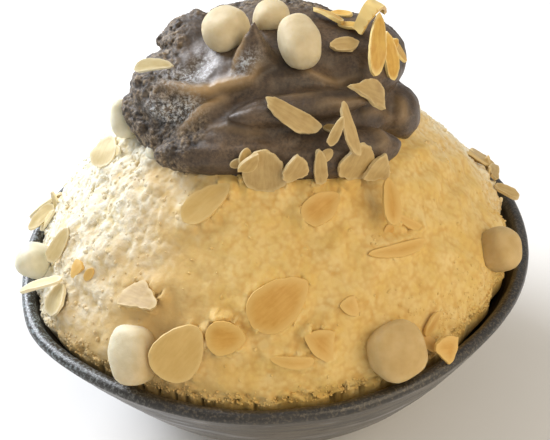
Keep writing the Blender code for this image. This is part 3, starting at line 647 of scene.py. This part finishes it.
lumpy, rise = [], []
normals = [vertex.normal.copy() for vertex in paste.data.vertices]
for vertex, normal, bend, edge in zip(paste.data.vertices, normals, fold, thin):
    point = vertex.co.copy()
    left = smoothstep(-point.x + 10 * MM * noise.noise(point / (14 * MM)), 17 * MM, 27 * MM)
    behind = smoothstep(point.y, 0, 15 * MM)
    rough = max(left, behind) * (1 - 0.75 * edge)
    azimuth = math.atan2(point.y, point.x)
    wrinkle = noise.noise(Vector((azimuth * 1.8, point.z / (2.8 * MM), 7)))
    wave = noise.noise(point / (9 * MM))
    lump = 1 - 2 * abs(noise.noise(point / (3.6 * MM)))
    crumb = 1 - 2 * abs(noise.noise(point / (1.5 * MM)))
    pit = smoothstep(noise.noise(point / (2.4 * MM) + Vector((5, 1, 8))), 0.2, 0.5)
    skin = noise.noise(point / (3.0 * MM) + Vector((2, 9, 4)))
    relief = 0.5 * wave + (1 - rough) * (0.3 * wrinkle + 0.25 * skin)
    relief += rough * (0.5 * lump + 0.6 * crumb - 0.45 * pit - 0.3)
    lumpy.append(rough)
    rise.append(relief)
    vertex.co += normal * (bend + relief) * MM
ice_tree = tree_of(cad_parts["shaved_ice"])
for vertex in paste.data.vertices:
    nearest, normal, _, _ = ice_tree.find_nearest(vertex.co)
    if (vertex.co - nearest).dot(normal) < 0:
        vertex.co = nearest + normal * PASTE_LIFT
for name, values in (("lumpy", lumpy), ("thin", thin), ("syrup", syrup), ("rise", rise)):
    set_attribute(paste.data, name, values)
paste.data.shade_smooth()

# Adzuki paste: brown starch and bean skins in syrup, satin where the spoon smoothed it and rough where it is
# crumbly. A thin drawn edge is painted warm tan for the light that comes through it, and hollows are painted
# darker as shade. Where syrup stands, it mirrors the window, and pale blue-grey flecks are painted on it as
# glare.
starch = {"IOR": 1.45, "Subsurface Weight": 0.08, "Subsurface Scale": 1.0 * MM, "Coat Roughness": 0.16}
bean, place = new_material("sweet adzuki paste", starch | {"Subsurface Radius": (1.0, 0.5, 0.3)})
names = ("lumpy", "thin", "rise", "syrup")
rough, edge, crest, pooled = [add_node(bean, "Attribute", None, "Fac", attribute_name=name) for name in names]
smear = add_node(bean, "TexNoise", {"Vector": place, "Scale": per(8), "Detail": 5, "Roughness": 0.6})
skins = add_node(bean, "TexNoise", {"Vector": place, "Scale": per(1.0), "Detail": 4, "Roughness": 0.7})
smeared = add_node(bean, "MapRange", {"Value": smear, "From Min": 0.36, "From Max": 0.64})
hollow_shading = add_node(bean, "MapRange", {"Value": crest, "From Min": -0.7, "From Max": 0.5})
flecked = add_node(bean, "MapRange", {"Value": skins, "From Min": 0.4, "From Max": 0.7})
mass = add_node(bean, "MixRGB", {0: smeared, 1: "#4f4134", 2: "#675440"})
veined = add_node(bean, "MixRGB", {0: flecked, 1: mass, 2: "#7b664f"})
clod = add_node(bean, "TexNoise", {"Vector": place, "Scale": per(3.4), "Detail": 3})
clotted = add_node(bean, "MapRange", {"Value": clod, "From Min": 0.4, "From Max": 0.6})
damp = add_node(bean, "MixRGB", {0: clotted, 1: "#2b231b", 2: "#57483a"})
mealy = add_node(bean, "MixRGB", {0: clotted, 1: "#75644f", 2: "#c0a986"})
crumbly = add_node(bean, "MixRGB", {0: flecked, 1: damp, 2: mealy})
grainy = add_node(bean, "MixRGB", {0: rough, 1: veined, 2: crumbly})
# Low places in the relief are painted dark brown: painted shade.
deep = add_node(bean, "MixRGB", {0: hollow_shading, 1: "#30271f", 2: grainy})
# The thin drawn edge is painted warm tan: painted light coming through it.
painted_edge_light = add_node(bean, "MixRGB", {0: edge, 1: deep, 2: "#b6976a"})
# Pale blue-grey flecks where syrup stands: painted glare of the window.
glare_speckle = add_node(bean, "MapRange", {"Value": skins, "From Min": 0.46, "From Max": 0.6})
painted_glare = add_node(bean, "Math", {0: glare_speckle, 1: pooled}, operation="MULTIPLY")
glare_speckled = add_node(bean, "MixRGB", {0: painted_glare, 1: painted_edge_light, 2: "#c4c7c9"})
dull = add_node(bean, "MapRange", {"Value": pooled, "To Min": 0.46, "To Max": 0.18})
coat = add_node(bean, "MapRange", {"Value": pooled, "From Max": 0.6, "To Min": 0.05, "To Max": 1.0})
stirred = add_node(bean, "Math", {0: rough, 1: pooled}, operation="ADD")
strength = add_node(bean, "MapRange", {"Value": stirred, "To Min": 0.3, "To Max": 1.0})
bump = add_node(bean, "Bump", {"Strength": strength, "Distance": 0.6 * MM, "Height": skins})
feed(bean, {"Base Color": glare_speckled, "Roughness": dull, "Coat Weight": coat})
feed(bean, {"Normal": bump, "Coat Normal": bump})
paste.data.materials.append(bean)
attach(paste, "root")
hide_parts("red_bean_paste")

# --- Rice cakes --------------------------------
# Soft bites of pounded steamed rice, cut from a rope of dough and tossed in starch. Each keeps the rounded
# block that its solid has, with finely puckered skin. Those in the golden ice are tinted golden, partly by
# milk they have taken up and partly as painted warm light, and those in the paste half as much.

CAKE_SHRINK = 0.35  # millimetres by which the skin lies inside the solid, before it puckers
MILK_HEIGHT = BOWL_HEIGHT + 10 * MM  # the further under this, the further left a cake has taken up milk


def refined(name, node, crease=None):
    """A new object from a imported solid: merged, and with its sharp edges creased this much, if at all."""
    obj = bpy.data.objects.new(name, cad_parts[node].data.copy())
    bpy.context.scene.collection.objects.link(obj)
    obj.data.materials.clear()
    pick(obj)
    bpy.ops.mesh.customdata_custom_splitnormals_clear()
    bpy.ops.object.mode_set(mode="EDIT")
    bpy.ops.mesh.select_all(action="SELECT")
    bpy.ops.mesh.remove_doubles(threshold=MERGE)
    if crease is not None:
        bpy.ops.mesh.select_all(action="DESELECT")
        bpy.ops.mesh.select_mode(type="EDGE")
        bpy.ops.mesh.edges_select_sharp(sharpness=math.radians(50))
        bpy.ops.transform.edge_crease(value=crease)
        bpy.ops.mesh.select_mode(type="VERT")
    bpy.ops.object.mode_set(mode="OBJECT")
    return obj


# Rice cake: milky, slightly translucent starch gel, dusted and then wetted by the melting ice.
gel = {"IOR": 1.4, "Subsurface Weight": 0.75, "Subsurface Scale": 2.6 * MM, "Coat Weight": 0.05}
gel |= {"Subsurface Radius": (1.0, 0.85, 0.6), "Coat Roughness": 0.3}
rice, place = new_material("pounded rice cake", gel)
wet = add_node(rice, "Attribute", None, "Fac", attribute_name="milk")
veil = add_node(rice, "TexNoise", {"Vector": place, "Scale": per(4), "Detail": 4})
veiled = add_node(rice, "MapRange", {"Value": veil, "From Min": 0.35, "From Max": 0.65})
dust = add_node(rice, "TexNoise", {"Vector": place, "Scale": per(0.9), "Detail": 3, "Roughness": 0.7})
dough = add_node(rice, "MixRGB", {0: veiled, 1: "#d6d0b5", 2: "#e3dec7"})
milky = add_node(rice, "MixRGB", {0: veiled, 1: "#c0a269", 2: "#caae78"})
chewy = add_node(rice, "MixRGB", {0: wet, 1: dough, 2: milky})
polish = add_node(rice, "MapRange", {"Value": dust, "To Min": 0.5, "To Max": 0.75})
bump = add_node(rice, "Bump", {"Strength": 0.35, "Distance": 0.3 * MM, "Height": dust})
feed(rice, {"Base Color": chewy, "Roughness": polish, "Normal": bump})
for node in cake_names:
    cake = refined(node.replace("rice_cake", "tteok"), node)
    modify(cake, "SUBSURF", levels=2)
    normals = [vertex.normal.copy() for vertex in cake.data.vertices]
    in_paste = coordinates(cake.data).mean(axis=0)[2] > BOWL_HEIGHT + 70 * MM
    taken = []
    for vertex, normal in zip(cake.data.vertices, normals):
        pucker = 0.5 * noise.noise(vertex.co / (6 * MM)) + 0.05 * noise.noise(vertex.co / (1.3 * MM))
        vertex.co += normal * (pucker - CAKE_SHRINK) * MM
        sunk = 0.8 * (MILK_HEIGHT - vertex.co.z)
        # That golden tint is partly milk and partly painted warm light.
        golden_side = smoothstep(vertex.co.x + sunk, -60 * MM, -30 * MM)
        taken.append(0.5 if in_paste else golden_side * smoothstep(-vertex.co.y, -20 * MM, 10 * MM))
    set_attribute(cake.data, "milk", taken)
    cake.data.shade_smooth()
    cake.data.materials.append(rice)
    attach(cake, "root")
    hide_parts(node)

# --- Almond slices -----------------------------
# Blanched almonds, sliced lengthwise as thin as a coin, many of them split or broken. The cut face shows fine
# fibres along the nut, and its rim is paler. Most of those on the golden ice are stained golden, partly by
# the milk and partly as painted warm light; the milk has also softened their edges, and a film of it covers
# two.

# The milk-soaked and milk-covered finishes are golden partly as painted warm light.
ALMOND_FINISHES = [  # name, fibre colours, rim colour, roughness, numbers of its slices
    ("dry sliced almond", "#ae9058", "#c0a46b", "#cfb783", 0.5, []),  # also every slice that no list names
    ("toasted sliced almond", "#c6963d", "#d9b055", "#ead08a", 0.42, [5, 6, 7, 8]),
    ("milk-soaked sliced almond", "#c6943f", "#d1a24f", "#dab468", 0.5, [19, *range(23, 28), *range(29, 34)]),
    ("pale sliced almond", "#d3bf8a", "#e1cf9d", "#ece0bd", 0.55, [1, 17, 18, 20, 39, 40, 41]),
    ("milk-covered sliced almond", "#c8a55f", "#cfae6a", "#d8bb7c", 0.5, [22, 28]),
]
ALMOND_EDGES = [(0.5, 0.75, 1), (0.5, 0.4, 1), (2.2, 0.3, 0.85), (0.6, 0.5, 1), (0.9, 0.2, 0.85)]
# Those are for each finish the rim's width and the outline's jags, in millimetres, and how sharp its edge is.
almonds = []
for name, dark, light, pale, roughness, _ in ALMOND_FINISHES:
    flesh = {"IOR": 1.47, "Subsurface Weight": 0.1, "Subsurface Scale": 0.8 * MM, "Roughness": roughness}
    almond, place = new_material(name, flesh | {"Subsurface Radius": (1.0, 0.75, 0.45)})
    lengthwise = add_node(almond, "UVMap", uv_map="slice")
    drawn = add_node(almond, "Mapping", {"Vector": lengthwise, "Scale": (0.16, 1, 1)})
    fibres = add_node(almond, "TexNoise", {"Vector": drawn, "Scale": per(1.0), "Detail": 3, "Roughness": 0.6})
    patch = add_node(almond, "TexNoise", {"Vector": place, "Scale": per(4), "Detail": 4})
    tone = add_node(almond, "Math", {0: fibres, 1: patch}, operation="ADD")
    toned = add_node(almond, "MapRange", {"Value": tone, "From Min": 0.8, "From Max": 1.2})
    rim = add_node(almond, "Attribute", None, "Fac", attribute_name="rim")
    grained = add_node(almond, "MixRGB", {0: toned, 1: dark, 2: light})
    cut = add_node(almond, "MixRGB", {0: rim, 1: grained, 2: pale})
    bump = add_node(almond, "Bump", {"Strength": 0.2, "Distance": 0.15 * MM, "Height": tone})
    feed(almond, {"Base Color": cut, "Normal": bump})
    almonds.append(almond)


def finish_slice(piece, finish):
    """Crumples and nibbles a slice, marks its rim, lays its fibres lengthwise and gives it its finish."""
    rim_width, jags, _ = ALMOND_EDGES[finish]
    mesh = piece.data
    middle, (along, across, out) = lie_of(coordinates(mesh))
    face = Vector(out)
    for vertex in mesh.vertices:
        ripple = 0.22 * noise.noise(vertex.co / (5 * MM)) + 0.1 * noise.noise(vertex.co / (1.6 * MM))
        nibble = noise.noise(vertex.co / (2.4 * MM)) + 0.5 * noise.noise(vertex.co / (1.1 * MM))
        away = vertex.co - Vector(middle)
        away -= face * away.dot(face)
        nibble *= jags * smoothstep(away.length, 1.5 * MM, 4 * MM)
        vertex.co += (face * ripple + away.normalized() * nibble) * MM
    facing = np.array([abs(vertex.normal.dot(face)) for vertex in mesh.vertices])
    points = coordinates(mesh)
    rims = points[facing < 0.75]
    to_rim = np.linalg.norm(points[:, None] - rims[None], axis=2).min(axis=1)
    set_attribute(mesh, "rim", np.clip(1.15 - to_rim / (rim_width * MM), 0, 1))
    layer = mesh.uv_layers.new(name="slice")
    flat = (points - middle) @ np.array([along, across]).T
    corners = np.array([loop.vertex_index for loop in mesh.loops])
    layer.data.foreach_set("uv", flat[corners].astype(np.float32).ravel())
    mesh.materials.append(almonds[finish])
    mesh.shade_smooth()
    mesh.set_sharp_from_angle(angle=math.radians(40))
    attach(piece, "root")


for number, node in enumerate(slice_names, 1):
    finish = next((i for i, row in enumerate(ALMOND_FINISHES) if number in row[-1]), 0)
    flake = refined(node.replace("almond_slice", "sliced_almond"), node, crease=ALMOND_EDGES[finish][2])
    modify(flake, "SUBSURF", levels=2)
    finish_slice(flake, finish)
    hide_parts(node)

# Splinters that broke off while the nuts were sliced, and lie between the larger slices: azimuth, elevation,
# length, width, heading, lift and roll in degrees, how far off the food it lies, and its finish.
SPLINTER_THICKNESS = 0.9 * MM
SPLINTERS = [
    (349, 59, 9, 6, 60, 10, 10, 0.4, 1),
    (346, 61, 8, 4, 20, -15, 25, 0.9, 1),
    (352, 70, 10, 4, 100, 10, 0, 0.8, 1),
    (14, 71, 9, 3.5, 140, 0, 20, 0.5, 1),
    (260, 54.5, 6, 4, 70, 15, 20, 1.6, 0),
    (257, 53, 5, 3, 10, 0, 0, 0.5, 0),
    (292, 51.5, 5, 3.5, 40, 0, 0, 0.5, 0),
    (300, 57.5, 6, 3, 120, 20, 0, 0.9, 0),
    (305, 6, 9, 5, 30, 0, 30, 0.6, 2),
    (303, 2.5, 8, 4, 120, 20, 0, 0.8, 2),
    (10, 11, 12, 4, 70, 0, 35, 0.7, 0),
    (14, 7, 13, 4.5, 95, 0, 20, 1.0, 0),
    (8, 6, 11, 3.5, 120, 10, -20, 0.8, 0),
    (12, 4, 12, 4, 60, -5, 30, 1.2, 0),
    (176, 9, 14, 4, 75, 0, 30, 0.6, 3),
    (171, 5, 13, 4.5, 60, 0, 40, 0.9, 0),
    (180, 6, 11, 3.5, 95, 10, 20, 0.8, 3),
    (216, 14, 5, 3, 60, 0, 0, 0.2, 2),
    (307, 28, 7, 5, 10, 0, 0, 0.0, 2),
    (189, 39, 7, 4, 20, 0, 0, 0.2, 3),
]
food = tree_of(ice, paste)
for number, (azimuth, elevation, length, width, heading, lift, roll, off, finish) in enumerate(SPLINTERS, 1):
    spot, normal = surface_at(azimuth, elevation, food)
    bpy.ops.mesh.primitive_circle_add(vertices=12, radius=0.5, fill_type="NGON")
    splinter = bpy.context.object
    splinter.name = f"almond_splinter_{number:02d}"
    bpy.ops.object.mode_set(mode="EDIT")
    bpy.ops.mesh.inset(thickness=0.15)
    bpy.ops.mesh.select_all(action="SELECT")
    bpy.ops.transform.resize(value=(length * MM, width * MM, 1))
    bpy.ops.object.mode_set(mode="OBJECT")
    modify(splinter, "SUBSURF", levels=1)
    modify(splinter, "SOLIDIFY", thickness=SPLINTER_THICKNESS, offset=0)
    modify(splinter, "BEVEL", width=0.15 * MM, segments=1, limit_method="ANGLE")
    flat = normal.to_track_quat("Z", "Y")
    turn = Euler((math.radians(roll), math.radians(lift), math.radians(heading))).to_quaternion()
    splinter.data.transform(Matrix.Translation(spot + normal * off * MM) @ (flat @ turn).to_matrix().to_4x4())
    finish_slice(splinter, finish)

# --- Loose ice ---------------------------------
# What the blade shaved off last: rounded crumbs of milk ice, in loose clumps all over the dry side and a few
# low on the soaked right, and a fringe of grains that rolled down to the lip all round.

# Loose shaved ice: the same milk ice in grains so small that light doesn't spread inside them.
loose_ice = milk_ice.copy()
loose_ice.name = "loose shaved milk ice"
for link in list(loose_ice.node_tree.links):
    if link.to_socket.name in ("Normal", "Subsurface Weight"):
        loose_ice.node_tree.links.remove(link)
loose_ice.node_tree.nodes["Principled BSDF"].inputs["Subsurface Weight"].default_value = 0
bpy.ops.mesh.primitive_ico_sphere_add(subdivisions=2, radius=0.5)
grain_shape = bpy.context.object
grain_points = coordinates(grain_shape.data)
grain_faces = np.array([face.vertices for face in grain_shape.data.polygons])
bpy.data.objects.remove(grain_shape)


def scatter_points(obj, count, chance_at, rng):
    """Random places on an object's faces, each with its normal, kept as often as chance_at(place) says."""
    obj.data.calc_loop_triangles()
    triangles = obj.data.loop_triangles
    areas = np.array([triangle.area for triangle in triangles])
    corners = np.array([triangle.vertices for triangle in triangles])
    normals = np.array([triangle.normal for triangle in triangles])
    points = coordinates(obj.data)
    chosen = []
    while len(chosen) < count:
        picks = rng.choice(len(areas), size=count, p=areas / areas.sum())
        u, v = rng.random(count), rng.random(count)
        over = u + v > 1
        u[over], v[over] = 1 - u[over], 1 - v[over]
        a, b, c = (points[corners[picks, k]] for k in range(3))
        spots = a + (b - a) * u[:, None] + (c - a) * v[:, None]
        for spot, normal, chance in zip(spots, normals[picks], rng.random(count)):
            if chance < chance_at(Vector(spot)):
                chosen.append((Vector(spot), Vector(normal)))
    return chosen[:count]


def on_open_ice(point):
    return point.z > ICE_EDGE - 0.5 * MM and math.hypot(point.x, point.y) > PASTE_EDGE_RADIUS - 3 * MM


def dry_chance(point):
    clumped = smoothstep(noise.noise(point / (3.6 * MM)), -0.25, 0.35)
    return clumped * (1 - 0.92 * soaked_and_warm_lit(point)) if on_open_ice(point) else 0


def wet_chance(point):
    near_edge = 1 - smoothstep(point.z, ICE_EDGE + 2 * MM, ICE_EDGE + 22 * MM)
    on_right = smoothstep(point.x, 15 * MM, 50 * MM)
    return near_edge * on_right * soaked_and_warm_lit(point) if on_open_ice(point) else 0


def fringe_chance(point):
    return 1 if ICE_EDGE - 0.5 * MM < point.z < ICE_EDGE + 4 * MM * (1 + noise.noise(point / (6 * MM))) else 0


CRUMB_KINDS = [  # name, where it lies, how many, smallest and largest size, and how much of one stands out
    ("dry_ice_crumbs_1", dry_chance, 2000, 1.1, 2.3, -0.18),
    ("dry_ice_crumbs_2", dry_chance, 1000, 0.6, 1.3, -0.05),
    ("soaked_ice_crumbs", wet_chance, 900, 0.6, 1.3, -0.15),
    ("ice_fringe", fringe_chance, 2000, 0.6, 1.2, 0.0),
]
GRAIN_UNEVENNESS = 0.22
GRAIN_HOLLOW = 0.35  # the most of the ice's hollow shade that a grain has
np_rng = np.random.default_rng(11)
for name, chance_at, count, smallest, largest, proud in CRUMB_KINDS:
    parts, wets, holes = [], [], []
    for point, normal in scatter_points(ice, count, chance_at, np_rng):
        size = (smallest + (largest - smallest) * np_rng.random() ** 2) * MM
        stretch = size * np_rng.uniform((0.9, 0.65, 0.5), (1.25, 1.0, 0.8))
        turn = np.array(Euler(np_rng.uniform(0, math.tau, 3)).to_matrix())
        rough = grain_points * (1 + GRAIN_UNEVENNESS * (np_rng.random((len(grain_points), 1)) - 0.5))
        parts.append((rough * stretch) @ turn.T + np.array(point + normal * size * proud))
        wets.append(soaked_and_warm_lit(point))
        holes.append(np_rng.uniform(0, GRAIN_HOLLOW))
    corners = len(grain_points)
    faces = (grain_faces[None] + corners * np.arange(len(parts))[:, None, None]).reshape(-1, 3)
    mesh = bpy.data.meshes.new(name)
    mesh.from_pydata(np.concatenate(parts), [], faces)
    crumbs = bpy.data.objects.new(name, mesh)
    bpy.context.scene.collection.objects.link(crumbs)
    set_attribute(mesh, "milk", np.repeat(wets, corners))
    set_attribute(mesh, "hollow_shade", np.repeat(holes, corners))
    mesh.shade_smooth()
    mesh.materials.append(loose_ice)
    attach(crumbs, "root")

# --- Floor, light and camera -------------------
# A pale floor, cool window light from the left and behind, and warm room light from the right. The camera
# looks down on the bowl at 37 degrees and is turned a little.

bpy.ops.mesh.primitive_plane_add(size=3)
ground = bpy.context.object
ground.name = "ground"
# Backdrop paper: matt, with the faintest cloudiness of its pulp.
paper, place = new_material("pale paper", {"Roughness": 0.8})
pulp = add_node(paper, "TexNoise", {"Vector": place, "Scale": per(40), "Detail": 4})
feed(paper, {"Base Color": add_node(paper, "MixRGB", {0: pulp, 1: "#e9e8e5", 2: "#f0efed"})})
ground.data.materials.append(paper)


def soft_light(name, place, target, size, power, colour):
    light = bpy.data.lights.new(name, "AREA")
    light.size = size
    light.energy = power
    light.color = linear(colour)[:3]
    lamp = bpy.data.objects.new(name, light)
    bpy.context.scene.collection.objects.link(lamp)
    lamp.location = place
    lamp.rotation_euler = (Vector(place) - Vector(target)).to_track_quat("Z", "Y").to_euler()


middle = (0, 0, 90 * MM)
soft_light("window", (-0.55, 0.5, 0.62), middle, 0.55, 13, "#f3f7ff")
soft_light("room", (0.5, -0.55, 0.6), middle, 0.7, 4.5, "#ffe9c6")
world = bpy.data.worlds.new("studio")
world.use_nodes = True
sky = world.node_tree.nodes["Background"].inputs
sky["Color"].default_value = linear("#eef0f2")
sky["Strength"].default_value = 0.5
bpy.context.scene.world = world
bpy.context.scene.view_settings.view_transform = "Standard"

PITCH = math.radians(37.15)
ROLL = math.radians(-3.75)
DISTANCE = 325.7 * MM
ASIDE = (-0.39 * MM, -1.83 * MM)  # where the rim's centre lies from the view's axis, right and up
FOCAL_LENGTH = 900 / 550  # over the picture's width
camera = bpy.data.cameras.new("camera")
camera.sensor_width = 36
camera.lens = FOCAL_LENGTH * camera.sensor_width
view = bpy.data.objects.new("camera", camera)
bpy.context.scene.collection.objects.link(view)
turn = Matrix.Rotation(math.pi / 2 - PITCH, 4, "X") @ Matrix.Rotation(ROLL, 4, "Z")
back = Matrix.Translation((-ASIDE[0], -ASIDE[1], DISTANCE))
view.matrix_world = Matrix.Translation(RIM_CENTRE) @ turn @ back
bpy.context.scene.camera = view
